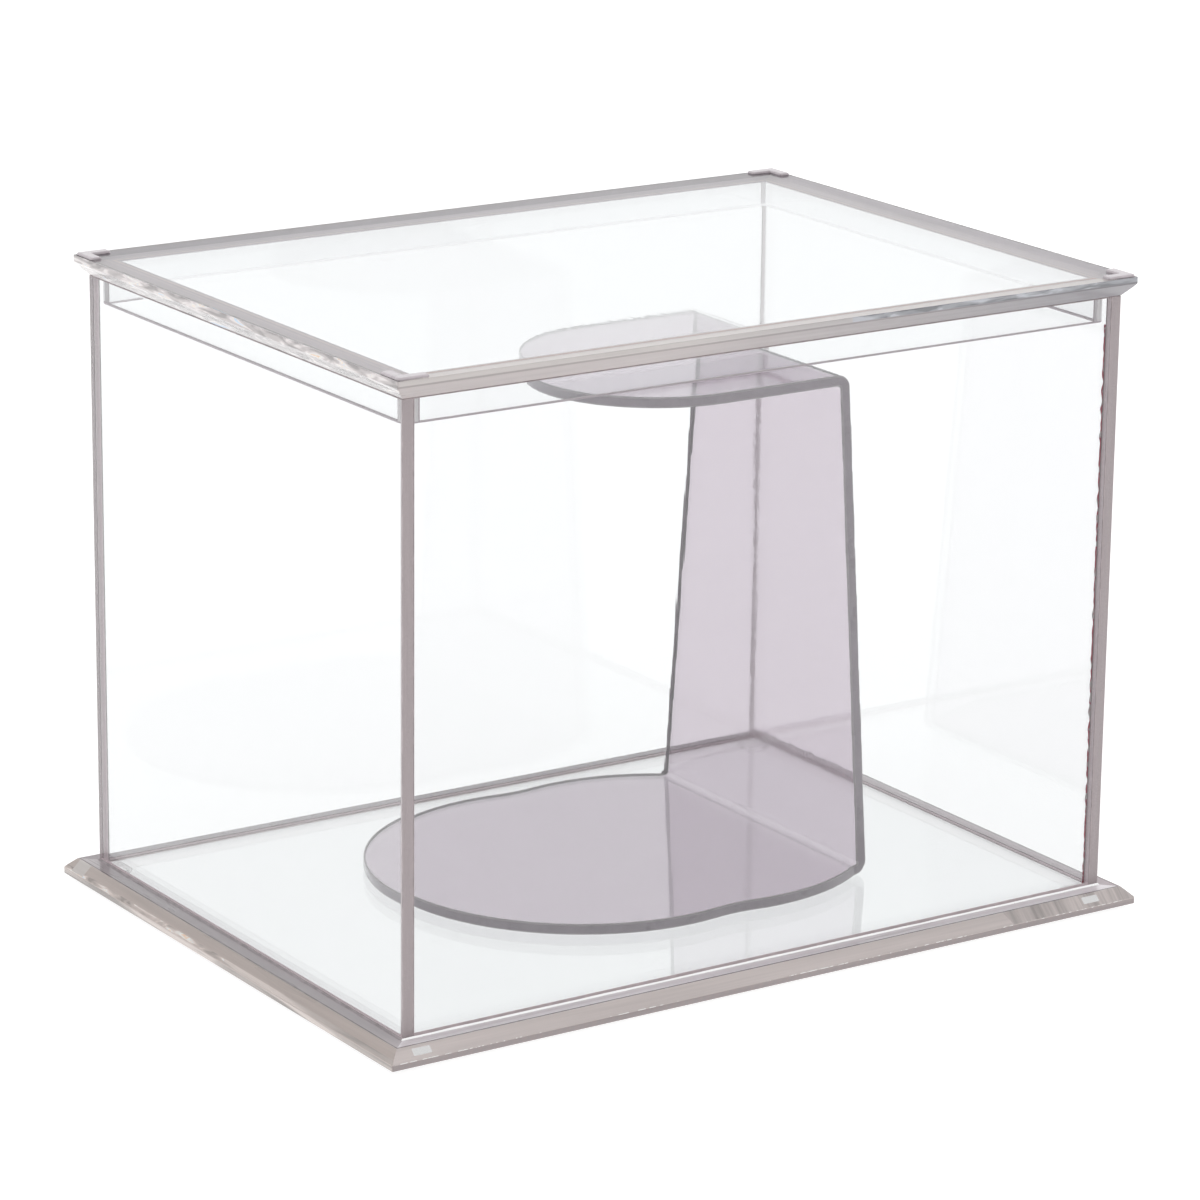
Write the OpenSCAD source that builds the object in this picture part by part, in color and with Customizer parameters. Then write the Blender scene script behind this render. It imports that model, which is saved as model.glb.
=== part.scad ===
// Full-size helmet display case: clear bevelled base, four bonded panels,
// a lift-off lid with a centring collar, and a heat-bent helmet stand inside.
// Millimetres, +Z up. The origin is at the centre of the case, on the surface
// that its feet stand on. +X runs along the long side, and -Y is the front.

/* [Panels] */
// Length over the outside of the side panels
case_len = 345; // [300:1:420]
// Depth over the outside of the front and back panels
case_dep = 250; // [220:1:320]
// Height of the panels
panel_h = 256; // [230:1:320]
// Thickness of the panels
panel_t = 5; // [3:0.5:6]

/* [Base] */
// Flat ledge that shows outside the panels
base_ledge = 6.9; // [4:0.1:10]
// Width of the bevel outside the ledge
base_bevel_w = 4.6; // [2:0.1:6]
// Height of the bevel
base_bevel_h = 4.5; // [2:0.1:6]
// Height of the upright lip under the bevel
base_lip_h = 2.8; // [2:0.1:4]
// Side of each square foot
foot_side = 11; // [8:0.5:14]
// Height of each foot
foot_h = 2; // [1.5:0.1:4]

/* [Lid] */
// How far the lid stands out past the panels, which is the bevel's width
lid_over = 4.9; // [3:0.1:6]
// Height of the bevel under the lid's lip
lid_bevel_h = 5.5; // [3:0.1:6]
// Height of the lid's upright lip
lid_lip_h = 2.7; // [2:0.1:4]
// Thickness of the collar strips
collar_t = 4; // [3:0.5:5]
// How far the collar hangs below the lid
collar_drop = 11.3; // [8:0.1:20]
// Clearance between the collar and the panels
collar_gap = 0.5; // [0.4:0.1:1]
// Length of each leg of a stacking lug
lug_leg = 14; // [10:0.5:20]
// Width of each leg of a stacking lug
lug_w = 5; // [3:0.5:6]
// Height of a stacking lug, less than a foot's height
lug_h = 1.1; // [0.8:0.1:1.5]

/* [Helmet stand] */
// Thickness of the bent sheet
sheet_t = 4.8; // [4:0.1:6]
// Height of the stand, from the case's floor to the top of its shelf
stand_h = 215; // [120:1:220]
// Radius of each round lobe of the foot plate
lobe_r = 88; // [80:1:90]
// Distance between the centres of the two lobes
lobe_gap = 45; // [40:1:50]
// Radius of the shallow waist between the lobes
waist_r = 60; // [40:1:90]
// Radius of the crown shelf's round end, and half its width
shelf_r = 54; // [40:1:60]
// How far the middle of the stand sits behind the middle of the case
stand_back = 14; // [0:1:15]

/* [Hidden] */
$fn = 64;

// Signs of the four corners and the two sides, as multipliers of X and Y
LEFT = -1;
RIGHT = 1;
FRONT = -1;
BACK = 1;

// Heights, from the surface that the feet stand on
base_t = base_lip_h + base_bevel_h;
floor_z = foot_h + base_t;
lid_z = floor_z + panel_h;
lid_t = lid_bevel_h + lid_lip_h;

// Outside sizes of the base and the lid
base_len = case_len + 2 * (base_ledge + base_bevel_w);
base_dep = case_dep + 2 * (base_ledge + base_bevel_w);
lid_len = case_len + 2 * lid_over;
lid_dep = case_dep + 2 * lid_over;
base_corner_r = 0.8;
lid_corner_r = 1;
small_r = 1;

// The collar's outside, a little smaller than the space between the panels
collar_len = case_len - 2 * (panel_t + collar_gap);
collar_dep = case_dep - 2 * (panel_t + collar_gap);
collar_corner_r = 3;

// Each lug lies just inside the lid's edge, and a foot nests inside the lug
lug_inset = 1;
nest_gap = 0.6;
foot_inset = lug_inset + lug_w + nest_gap + foot_side / 2;
foot_x = lid_len / 2 - foot_inset;
foot_y = lid_dep / 2 - foot_inset;

// The stand: x of its lobes, of its bend and of its shelf's round end
front_lobe_x = -2;
rear_lobe_x = front_lobe_x + lobe_gap;
upright_x = 97;
shelf_x = 32;
bend_r = 1.5;
bend_outer_r = bend_r + sheet_t;
upright_half_w = 73.5;
plenty = 400;

// A rectangle with round corners, centred on the origin
module rounded_rect(len, dep, r) {
    square([len - 2 * r, dep], center = true);
    square([len, dep - 2 * r], center = true);
    for (sx = [LEFT, RIGHT], sy = [FRONT, BACK])
        translate([sx * (len / 2 - r), sy * (dep / 2 - r)]) circle(r);
}

// The end view of a slab that has an upright lip below a bevel
module bevel_profile(width, lip_h, bevel_h, bevel_w) {
    half = width / 2;
    polygon([
        [-half, 0], [half, 0], [half, lip_h],
        [half - bevel_w, lip_h + bevel_h], [bevel_w - half, lip_h + bevel_h],
        [-half, lip_h]
    ]);
}

// A slab with its four upper edges bevelled and mitred, standing on z = 0
module bevelled_slab(len, dep, lip_h, bevel_h, bevel_w, corner_r) {
    intersection() {
        rotate([90, 0, 0]) translate([0, 0, -dep])
            linear_extrude(2 * dep) bevel_profile(len, lip_h, bevel_h, bevel_w);
        rotate([90, 0, 90]) translate([0, 0, -len])
            linear_extrude(2 * len) bevel_profile(dep, lip_h, bevel_h, bevel_w);
        linear_extrude(lip_h + bevel_h) rounded_rect(len, dep, corner_r);
    }
}

// A flat panel that stands on the base, centred on x and y
module panel(len, dep, x, y) {
    translate([x - len / 2, y - dep / 2, floor_z]) cube([len, dep, panel_h]);
}

// The sheet's outline from the side: a square-ended space with two round corners
// on its right. The sheet lies between a larger and a smaller one of these.
module bend_space(right_x, bottom, top, r) {
    left_x = right_x - plenty;
    translate([left_x, bottom]) square([plenty - r, top - bottom]);
    translate([right_x - 2 * r, bottom + r]) square([2 * r, top - bottom - 2 * r]);
    for (z = [bottom + r, top - r])
        translate([right_x - r, z]) circle(r);
}

// The foot plate from above: two lobes with a shallow waist
module peanut() {
    mid = lobe_gap / 2;
    waist_y = sqrt(pow(lobe_r + waist_r, 2) - pow(mid, 2));
    touch = mid * waist_r / (lobe_r + waist_r);
    touch_y = waist_y * lobe_r / (lobe_r + waist_r);
    translate([(front_lobe_x + rear_lobe_x) / 2, 0]) {
        for (s = [LEFT, RIGHT]) translate([s * mid, 0]) circle(lobe_r, $fn = 160);
        difference() {
            square([2 * touch, 2 * touch_y], center = true);
            for (s = [FRONT, BACK])
                translate([0, s * waist_y]) circle(waist_r, $fn = 160);
        }
    }
}

// The crown shelf from above: a round end that runs back to the bend
module shelf_outline() {
    translate([shelf_x, 0]) circle(shelf_r, $fn = 128);
    translate([shelf_x, -shelf_r]) square([upright_x - shelf_x, 2 * shelf_r]);
}

// The upright from behind: it tapers from the foot plate to the shelf
module upright_outline() {
    polygon([
        [-upright_half_w, 0], [upright_half_w, 0], [shelf_r, stand_h], [-shelf_r, stand_h]
    ]);
}

module base_plate() {
    color([0.86, 0.85, 0.86])
        translate([0, 0, foot_h])
            bevelled_slab(base_len, base_dep, base_lip_h, base_bevel_h, base_bevel_w, base_corner_r);
}

// One foot, under the corner that sx and sy name
module base_foot(sx, sy) {
    color([0.80, 0.79, 0.80])
        translate([sx * foot_x, sy * foot_y, 0])
            linear_extrude(foot_h) rounded_rect(foot_side, foot_side, small_r);
}

module front_panel() {
    color([0.93, 0.95, 0.96])
        panel(case_len - 2 * panel_t, panel_t, 0, (panel_t - case_dep) / 2);
}

module back_panel() {
    color([0.93, 0.95, 0.96])
        panel(case_len - 2 * panel_t, panel_t, 0, (case_dep - panel_t) / 2);
}

module left_panel() {
    color([0.90, 0.92, 0.94])
        panel(panel_t, case_dep, (panel_t - case_len) / 2, 0);
}

module right_panel() {
    color([0.90, 0.92, 0.94])
        panel(panel_t, case_dep, (case_len - panel_t) / 2, 0);
}

// The lid is the same kind of slab as the base, turned over
module lid_plate() {
    color([0.88, 0.88, 0.90])
        translate([0, 0, lid_z + lid_t]) mirror([0, 0, 1])
            bevelled_slab(lid_len, lid_dep, lid_lip_h, lid_bevel_h, lid_over, lid_corner_r);
}

// A front or back collar strip, between the two side strips
module collar_cross_strip(sy) {
    color([0.82, 0.82, 0.84])
        translate([collar_t - collar_len / 2, sy * (collar_dep - collar_t) / 2 - collar_t / 2,
                   lid_z - collar_drop])
            cube([collar_len - 2 * collar_t, collar_t, collar_drop]);
}

// A side collar strip, as deep as the collar, with its outer corners rounded
module collar_side_strip(sx) {
    color([0.82, 0.82, 0.84])
        translate([0, 0, lid_z - collar_drop])
            linear_extrude(collar_drop) intersection() {
                rounded_rect(collar_len, collar_dep, collar_corner_r);
                translate([sx * (collar_len - collar_t) / 2, 0])
                    square([collar_t, collar_dep], center = true);
            }
}

// An L-shaped lug on the lid, at the corner that sx and sy name
module lid_lug(sx, sy) {
    corner_x = lid_len / 2 - lug_inset;
    corner_y = lid_dep / 2 - lug_inset;
    color([0.78, 0.78, 0.79])
        translate([sx * corner_x, sy * corner_y, lid_z + lid_t])
            linear_extrude(lug_h) {
                translate([-sx * lug_leg / 2, -sy * lug_w / 2]) rounded_rect(lug_leg, lug_w, small_r);
                translate([-sx * lug_w / 2, -sy * lug_leg / 2]) rounded_rect(lug_w, lug_leg, small_r);
            }
}

// One sheet bent twice into a C: foot plate, upright and crown shelf
module helmet_stand() {
    color([0.62, 0.58, 0.63])
        translate([0, stand_back, floor_z]) intersection() {
            rotate([90, 0, 0]) translate([0, 0, -plenty / 2]) linear_extrude(plenty) difference() {
                bend_space(upright_x, 0, stand_h, bend_outer_r);
                bend_space(upright_x - sheet_t, sheet_t, stand_h - sheet_t, bend_r);
            }
            union() {
                linear_extrude(sheet_t + bend_r) peanut();
                translate([upright_x - bend_outer_r, 0, 0]) rotate([90, 0, 90])
                    linear_extrude(bend_outer_r) upright_outline();
                translate([0, 0, stand_h - sheet_t - bend_r])
                    linear_extrude(sheet_t + bend_r) shelf_outline();
            }
        }
}

base_plate();
base_foot(LEFT, FRONT);  // base_foot_front_left
base_foot(RIGHT, FRONT);  // base_foot_front_right
base_foot(LEFT, BACK);  // base_foot_back_left
base_foot(RIGHT, BACK);  // base_foot_back_right
front_panel();
back_panel();
left_panel();
right_panel();
lid_plate();
collar_cross_strip(FRONT);  // lid_collar_front
collar_cross_strip(BACK);  // lid_collar_back
collar_side_strip(LEFT);  // lid_collar_left
collar_side_strip(RIGHT);  // lid_collar_right
lid_lug(LEFT, FRONT);  // lid_lug_front_left
lid_lug(RIGHT, FRONT);  // lid_lug_front_right
lid_lug(LEFT, BACK);  // lid_lug_back_left
lid_lug(RIGHT, BACK);  // lid_lug_back_right
helmet_stand();
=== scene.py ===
"""Looks for a clear helmet display case: polished acrylic sheets, a bevelled base and lid, and
a smoky heat-bent stand. Metres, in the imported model's own frame."""

import math

import bmesh
import bpy
from mathutils import Matrix, Vector, noise


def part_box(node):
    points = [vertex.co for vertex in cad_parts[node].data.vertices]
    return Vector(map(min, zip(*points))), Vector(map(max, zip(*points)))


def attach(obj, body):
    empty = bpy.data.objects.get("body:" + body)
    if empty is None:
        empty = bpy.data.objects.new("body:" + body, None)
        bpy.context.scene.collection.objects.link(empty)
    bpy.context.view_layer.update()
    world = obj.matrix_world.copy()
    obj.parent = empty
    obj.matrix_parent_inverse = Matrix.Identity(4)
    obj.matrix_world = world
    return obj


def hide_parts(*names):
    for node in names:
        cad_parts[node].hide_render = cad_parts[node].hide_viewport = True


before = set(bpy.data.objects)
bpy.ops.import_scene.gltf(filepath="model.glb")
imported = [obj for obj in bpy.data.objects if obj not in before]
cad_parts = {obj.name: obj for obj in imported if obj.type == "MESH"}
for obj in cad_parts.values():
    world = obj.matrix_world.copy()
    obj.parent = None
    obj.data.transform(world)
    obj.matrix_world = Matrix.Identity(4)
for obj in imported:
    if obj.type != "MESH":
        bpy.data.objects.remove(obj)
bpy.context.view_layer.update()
MM = 0.001

# ---- Sizes that the nodes' boxes don't give ----
SKIN = 0.05 * MM  # every piece stays this far inside its CAD solid
EASE = 0.35 * MM  # how far the sheets' sharp edges are eased
COLLAR_STRIP = 0.75 * MM  # how high the painted grey line runs up from the collar's lower edge
FAINT_FROM_X, FAINT_FROM_Y = -147 * MM, -76 * MM  # where its far lines turn faint: painted white with a strong glow, so they fade against the floor
BASE_BEVEL_W = 4.6 * MM
BASE_LIP_H = 2.8 * MM
BASE_CORNER_R = 0.8 * MM
LID_LIP_H = 2.7 * MM
LID_CORNER_R = 1.0 * MM
COLLAR_CORNER_R = 3.0 * MM
LUG_W = 5.0 * MM
LUG_R = 1.0 * MM
LUG_INNER_R = 0.4 * MM
FOOT_R = 1.6 * MM
PANEL_STRIP, FRONT_STRIP = 0.8 * MM, 1.9 * MM  # how high the painted grey strip runs up the panels' feet, standing in for their lower edge seen through the face
BEAD_STEP, BEAD_W = 1.2 * MM, 1.1 * MM  # the weld bead's ring spacing and mean width
BEAD_SWELL, BEAD_SWELLS_PER_METRE = 0.8, 260
STAND_EASE = 0.7 * MM
STAND_SPACING = 6 * MM
BEND_CUTS, UPRIGHT_CUTS = 9, 8
BEND_SWELL = 0.012  # how much the stand's edges spread inside its bends
SWELL_POWER = 8  # keeps that spread to the very edges
SMALL_SPACING = 2 * MM  # between the points of the lugs' and feet's outlines

# The stand's outline, as in the CAD part
SHEET_T = 4.8 * MM
BEND_OUTER_R = 6.3 * MM
LOBE_R = 88 * MM
FRONT_LOBE_X = -2 * MM
REAR_LOBE_X = 43 * MM
WAIST_R = 60 * MM
SHELF_R = 54 * MM
SHELF_X = 32 * MM
UPRIGHT_HALF_W = 73.5 * MM

# ---- Colours, linear ----
SHEET_TINT = (0.925, 0.932, 0.935, 1)
LID_TINT = (0.905, 0.922, 0.930, 1)
BASE_TINT = (0.950, 0.966, 0.970, 1)
# Painted light and shade: the lid's rims and margin are one finish, painted in lit and shaded copies,
# one tone for each side and face
LID_SATIN = (0.58, 0.525, 0.52, 1)
LID_LIP_PALE = (0.66, 0.62, 0.605, 1)
LID_WISP_GREY = (0.54, 0.50, 0.50, 1)
LID_RIGHT_SHADE = (0.52, 0.55, 0.60, 1)  # painted shade: what the front and back rims' tone falls to at their right
LID_BACK_LILAC = (0.46, 0.40, 0.455, 1)
LID_RIGHT_GREY = (0.74, 0.66, 0.72, 1)
# painted reflection on the front lip's right part
LID_REFLECTION_BLUE = (0.36, 0.37, 0.40, 1)
LID_MARGIN_BACK = (0.69, 0.62, 0.665, 1)
LID_MARGIN_GREY = (0.745, 0.665, 0.695, 1)
LID_MARGIN_PALE = (0.95, 0.87, 0.84, 1)
LUG_GREY = (0.62, 0.565, 0.60, 1)
# Painted light and shade: the base's lip, bevel and ledge are one finish, painted in lit and shaded
# copies, one tone for each side
BASE_SATIN = (0.48, 0.41, 0.38, 1)
BASE_SATIN_FRONT = (0.64, 0.575, 0.56, 1)
BASE_LEDGE_LILAC = (0.46, 0.41, 0.43, 1)
BASE_LEDGE_FRONT = (0.92, 0.87, 0.91, 1)
BASE_LEDGE_BACK = (0.26, 0.21, 0.24, 1)
BASE_LEDGE_RIGHT = (0.46, 0.37, 0.405, 1)
BASE_LIP_PALE = (0.46, 0.405, 0.38, 1)
BASE_LIP_FRONT = (0.36, 0.31, 0.31, 1)
BASE_END_PALE = (0.58, 0.54, 0.52, 1)
EDGE_GREY = (0.415, 0.362, 0.374, 1)
BONDED_GREY = (0.72, 0.63, 0.66, 1)  # painted lighter than EDGE_GREY, as it's darkened by the sheets that it's seen through
FROST_GREY = (0.36, 0.31, 0.32, 1)
FROST_ROSE = (0.34, 0.275, 0.29, 1)
FOOT_ROSE = (0.52, 0.44, 0.465, 1)
FOOT_STRIP_ROSE = (0.66, 0.57, 0.59, 1)
EDGE_PALE = (0.66, 0.63, 0.63, 1)
COLLAR_PALE = (0.88, 0.86, 0.87, 1)
STAND_TINT = (0.62, 0.552, 0.61, 1)
STAND_EDGE_GREY = (0.40, 0.35, 0.40, 1)
STAND_LINE_GREY = (0.58, 0.54, 0.57, 1)
FOOT_WHITE = (0.90, 0.90, 0.895, 1)
SEAM_ROSE = (0.52, 0.06, 0.11, 1)
# painted highlights: the wisps' white and the prismatic glints
WISP_WHITE = (0.90, 0.90, 0.88, 1)
GLINT_ORANGE = (0.90, 0.62, 0.42, 1)
GLINT_BLUE = (0.60, 0.74, 0.92, 1)
WELD_WHITE = (0.97, 0.97, 0.97, 1)
COLLAR_LILAC = (0.50, 0.43, 0.47, 1)
COLLAR_WHITE = (0.93, 0.92, 0.93, 1)
ROSE = (0.78, 0.50, 0.47, 1)
PINK_WHITE = (0.95, 0.84, 0.82, 1)
FLOOR_WHITE = (0.25, 0.25, 0.25, 1)
WHITE = (1, 1, 1, 1)
ROOM_GREY = (0.24, 0.215, 0.21, 1)

# ---- Emission strengths: a painted glow on edges that are seen through glass, standing in for the light they pipe ----
BONDED_GLOW = 0.17
PALE_GLOW = 0.15
COLLAR_GLOW = 0.25
FAINT_GLOW = 0.55
FOOT_GLOW = 0.4
FLOOR_GLOW = 0.93  # keeps the ground as white as the photo's

ACRYLIC_IOR = 1.49
PAD_IOR = 1.12  # low, so that the feet hardly show through the floor
ALONG_X, ALONG_Y, ALONG_Z = (0.02, 1, 1), (1, 0.02, 1), (1, 1, 0.02)  # how streaks stretch
EVENLY = (1, 1, 1)
FLAT = 0.98  # a face looks along an axis if that part of its normal is over this
UPRIGHT = 0.02  # and stands upright if its normal's Z is under this
NEAR_FACE = 0.4  # of a sheet's thickness from its middle: what lies beyond is its face
MIX_RANGE = (0.36, 0.64)  # what a mix of two noises spans
RIGHT_SHADE_RANGE = (-60 * MM, 150 * MM)  # along X, the span over which the painted shade on the lid's rims deepens


# ---------------------------------------------------------------- materials

def new_material(name, colour, roughness, **plain):
    """A Principled material with plain values on its own sockets."""
    mat = bpy.data.materials.new(name)
    mat.use_nodes = True
    shader = mat.node_tree.nodes["Principled BSDF"]
    shader.inputs["Base Color"].default_value = colour
    shader.inputs["Roughness"].default_value = roughness
    shader.inputs["IOR"].default_value = ACRYLIC_IOR
    for socket, value in plain.items():
        shader.inputs[socket.replace("_", " ")].default_value = value
    return mat, mat.node_tree.nodes, mat.node_tree.links, shader


def stretched_noise(nodes, links, scale, stretch, detail=3.0, roughness=0.5, distortion=0.0):
    """Noise in the piece's own metres, with its grain stretched along an axis."""
    place = nodes.new("ShaderNodeTexCoord")
    mapping = nodes.new("ShaderNodeMapping")
    mapping.inputs["Scale"].default_value = stretch
    texture = nodes.new("ShaderNodeTexNoise")
    texture.inputs["Scale"].default_value = scale
    texture.inputs["Detail"].default_value = detail
    texture.inputs["Roughness"].default_value = roughness
    texture.inputs["Distortion"].default_value = distortion
    links.new(place.outputs["Object"], mapping.inputs["Vector"])
    links.new(mapping.outputs["Vector"], texture.inputs["Vector"])
    return texture.outputs["Fac"]


def ramp(nodes, links, source, low, high, start, end):
    """Turns a noise value into colours between low and high."""
    node = nodes.new("ShaderNodeValToRGB")
    node.color_ramp.elements[0].position = start
    node.color_ramp.elements[1].position = end
    node.color_ramp.elements[0].color = low
    node.color_ramp.elements[1].color = high
    links.new(source, node.inputs["Fac"])
    return node.outputs["Color"]


def colour_by(nodes, links, shader, source, low, high, start=0.35, end=0.65):
    """Colours the shader from low to high by a noise value."""
    colour = ramp(nodes, links, source, low, high, start, end)
    links.new(colour, shader.inputs["Base Color"])


def roughen(nodes, links, shader, source, low, high):
    """Sets the roughness from low to high by a noise value, which usually is 0.3 to 0.7."""
    node = nodes.new("ShaderNodeMapRange")
    node.inputs["From Min"].default_value = 0.3
    node.inputs["From Max"].default_value = 0.7
    node.inputs["To Min"].default_value = low
    node.inputs["To Max"].default_value = high
    links.new(source, node.inputs["Value"])
    links.new(node.outputs["Result"], shader.inputs["Roughness"])


def bump(nodes, links, shader, source, distance, under=None):
    """Adds relief of that depth in metres to the shader, over another bump if given."""
    node = nodes.new("ShaderNodeBump")
    node.inputs["Distance"].default_value = distance
    links.new(source, node.inputs["Height"])
    if under is not None:
        links.new(under, node.inputs["Normal"])
    links.new(node.outputs["Normal"], shader.inputs["Normal"])
    return node.outputs["Normal"]


def shade(colour, factor):
    """A darker or lighter colour of the same hue."""
    return tuple(c * factor for c in colour[:3]) + (1,)


def clear_sheet(name, tint):
    """Clear polished acrylic: faint roller waves, smudges and hairline scratches."""
    mat, nodes, links, shader = new_material(name, tint, 0.0, Transmission_Weight=1.0)
    smudge = stretched_noise(nodes, links, 16, EVENLY, detail=5)
    roughen(nodes, links, shader, smudge, 0.0, 0.03)
    wave = stretched_noise(nodes, links, 9, (1, 1, 0.6), detail=1)
    waves = bump(nodes, links, shader, wave, 0.03 * MM)
    hair = stretched_noise(nodes, links, 500, (1, 0.04, 0.04), detail=2)
    bump(nodes, links, shader, hair, 0.004 * MM, under=waves)
    return mat


def mean(nodes, links, first, second):
    """The mean of two noise values."""
    total = nodes.new("ShaderNodeMath")
    total.operation = "ADD"
    links.new(first, total.inputs[0])
    links.new(second, total.inputs[1])
    half = nodes.new("ShaderNodeMath")
    half.operation = "MULTIPLY"
    half.inputs[1].default_value = 0.5
    links.new(total.outputs[0], half.inputs[0])
    return half.outputs[0]


def sawn_edge(name, tone, along, glow=0.0):
    """The sheets' polished edges: warm grey, with painted light streaks along their length where light
    is piped down the sheet, and a fine grain. Bonded edges get a painted glow of that light."""
    mat, nodes, links, shader = new_material(
        name, tone, 0.3, Specular_IOR_Level=0.6, Emission_Color=tone, Emission_Strength=glow)
    streak = stretched_noise(nodes, links, 800, along, detail=4, roughness=0.6)
    grain = stretched_noise(nodes, links, 2600, EVENLY, detail=2)
    mixed = mean(nodes, links, streak, grain)
    colour_by(nodes, links, shader, mixed, shade(tone, 0.93), shade(tone, 1.08), *MIX_RANGE)
    roughen(nodes, links, shader, grain, 0.18, 0.36)
    bump(nodes, links, shader, streak, 0.02 * MM)
    return mat


def frosted_edge(name, tint, along):
    """Cut edges that are seen from inside the sheet: a matt grey glow of the light behind."""
    mat, nodes, links, shader = new_material(name, tint, 0.5, Transmission_Weight=1.0)
    streak = stretched_noise(nodes, links, 800, along, detail=4, roughness=0.6)
    colour_by(nodes, links, shader, streak, shade(tint, 0.88), shade(tint, 1.1), *MIX_RANGE)
    roughen(nodes, links, shader, streak, 0.42, 0.62)
    bump(nodes, links, shader, streak, 0.03 * MM)
    return mat


def eased_edge(name, low, high, glow=0.0):
    """The fine eased line at every edge of a sheet, which catches the light; glow adds a painted glow.
    """
    mat, nodes, links, shader = new_material(name, high, 0.2, Emission_Color=high,
                                             Emission_Strength=glow)
    fleck = stretched_noise(nodes, links, 260, EVENLY, detail=3)
    colour_by(nodes, links, shader, fleck, low, high)
    bump(nodes, links, shader, fleck, 0.02 * MM)
    return mat


def rim_wisps(name, tone, along, glint=False, scale=170):
    """The rims' most polished faces: painted pale wisps and dark hollows that stand in for light
    running through the thick edge, with a few painted prismatic glints if asked for."""
    mat, nodes, links, shader = new_material(
        name, tone, 0.16, Coat_Weight=1.0, Coat_Roughness=0.04, Coat_IOR=ACRYLIC_IOR)
    wisp = stretched_noise(nodes, links, scale, [max(k, 0.07) for k in along], detail=2,
                           roughness=0.45, distortion=0.9)
    colour = ramp(nodes, links, wisp, shade(tone, 0.62), tone, 0.37, 0.46)
    steps = colour.node.color_ramp.elements
    for position, brighter in ((0.53, 1.12), (0.59, 1.55)):
        steps.new(position).color = shade(tone, brighter)
    if glint:
        for k, bright in enumerate((WISP_WHITE, GLINT_ORANGE, WISP_WHITE, GLINT_BLUE)):
            steps.new(0.66 + 0.012 * k).color = bright
    links.new(colour, shader.inputs["Base Color"])
    roughen(nodes, links, shader, wisp, 0.10, 0.3)
    wave = stretched_noise(nodes, links, 70, [max(k, 0.2) for k in along], detail=0)
    bump(nodes, links, shader, wave, 0.8 * MM)
    return mat


def painted_shade_to_right(nodes, links, colour, drift):
    """Painted shade: multiplies a colour by drift, little by little, towards the right of the case."""
    place = nodes.new("ShaderNodeTexCoord")
    split = nodes.new("ShaderNodeSeparateXYZ")
    links.new(place.outputs["Object"], split.inputs["Vector"])
    across = nodes.new("ShaderNodeMapRange")
    across.inputs["From Min"].default_value, across.inputs["From Max"].default_value = RIGHT_SHADE_RANGE
    links.new(split.outputs["X"], across.inputs["Value"])
    mix = nodes.new("ShaderNodeMixRGB")
    mix.blend_type = "MULTIPLY"
    mix.inputs["Color2"].default_value = drift
    links.new(across.outputs["Result"], mix.inputs["Fac"])
    links.new(colour, mix.inputs["Color1"])
    return mix.outputs["Color"]


def rim_satin(name, tone, along, contrast, drift=None, glow=0.0):
    """The rims' cut faces: satin grey acrylic streaked along the cut, under a polish, with painted
    shade towards the right if drift is given. Those that are seen through glass get a painted glow."""
    mat, nodes, links, shader = new_material(
        name, tone, 0.34, Coat_Weight=0.7, Coat_Roughness=0.06, Coat_IOR=ACRYLIC_IOR,
        Emission_Color=tone, Emission_Strength=glow)
    streak = stretched_noise(nodes, links, 420, along, detail=5, roughness=0.62)
    band = stretched_noise(nodes, links, 110, [max(k, 0.08) for k in along], detail=3)
    mixed = mean(nodes, links, streak, band)
    colour = ramp(nodes, links, mixed, shade(tone, 1 - contrast), shade(tone, 1 + contrast),
                  *MIX_RANGE)
    if drift:
        colour = painted_shade_to_right(nodes, links, colour, drift)
    links.new(colour, shader.inputs["Base Color"])
    roughen(nodes, links, shader, band, 0.24, 0.46)
    bump(nodes, links, shader, mixed, 0.05 * MM)
    return mat


def smoked_acrylic(name):
    """The stand's smoky lilac sheet, with smudges, slow waves and hairline scratches."""
    mat, nodes, links, shader = new_material(name, STAND_TINT, 0.02, Transmission_Weight=1.0)
    smudge = stretched_noise(nodes, links, 22, EVENLY, detail=6, roughness=0.6)
    roughen(nodes, links, shader, smudge, 0.01, 0.06)
    wave = stretched_noise(nodes, links, 14, EVENLY, detail=1)
    waves = bump(nodes, links, shader, wave, 0.1 * MM)
    hair = stretched_noise(nodes, links, 420, (0.05, 1, 1), detail=2)
    bump(nodes, links, shader, hair, 0.01 * MM, under=waves)
    return mat


def soft_pad(name):
    """The feet: soft clear pads, a little cloudy."""
    mat, nodes, links, shader = new_material(
        name, FOOT_WHITE, 0.2, Transmission_Weight=1.0, IOR=PAD_IOR)
    cloud = stretched_noise(nodes, links, 400, EVENLY, detail=4)
    colour_by(nodes, links, shader, cloud, shade(FOOT_WHITE, 0.93), FOOT_WHITE)
    roughen(nodes, links, shader, cloud, 0.12, 0.3)
    bump(nodes, links, shader, cloud, 0.04 * MM)
    return mat


def glinting_line(name, tone):
    """A polished arris, with a few clusters of painted glints along it."""
    mat, nodes, links, shader = new_material(name, tone, 0.2)
    fleck = stretched_noise(nodes, links, 420, EVENLY, detail=2)
    cluster = stretched_noise(nodes, links, 16, ALONG_Z, detail=1)
    mixed = mean(nodes, links, fleck, cluster)
    colour_by(nodes, links, shader, mixed, shade(tone, 0.9), WISP_WHITE, 0.53, 0.57)
    bump(nodes, links, shader, fleck, 0.02 * MM)
    return mat


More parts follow.
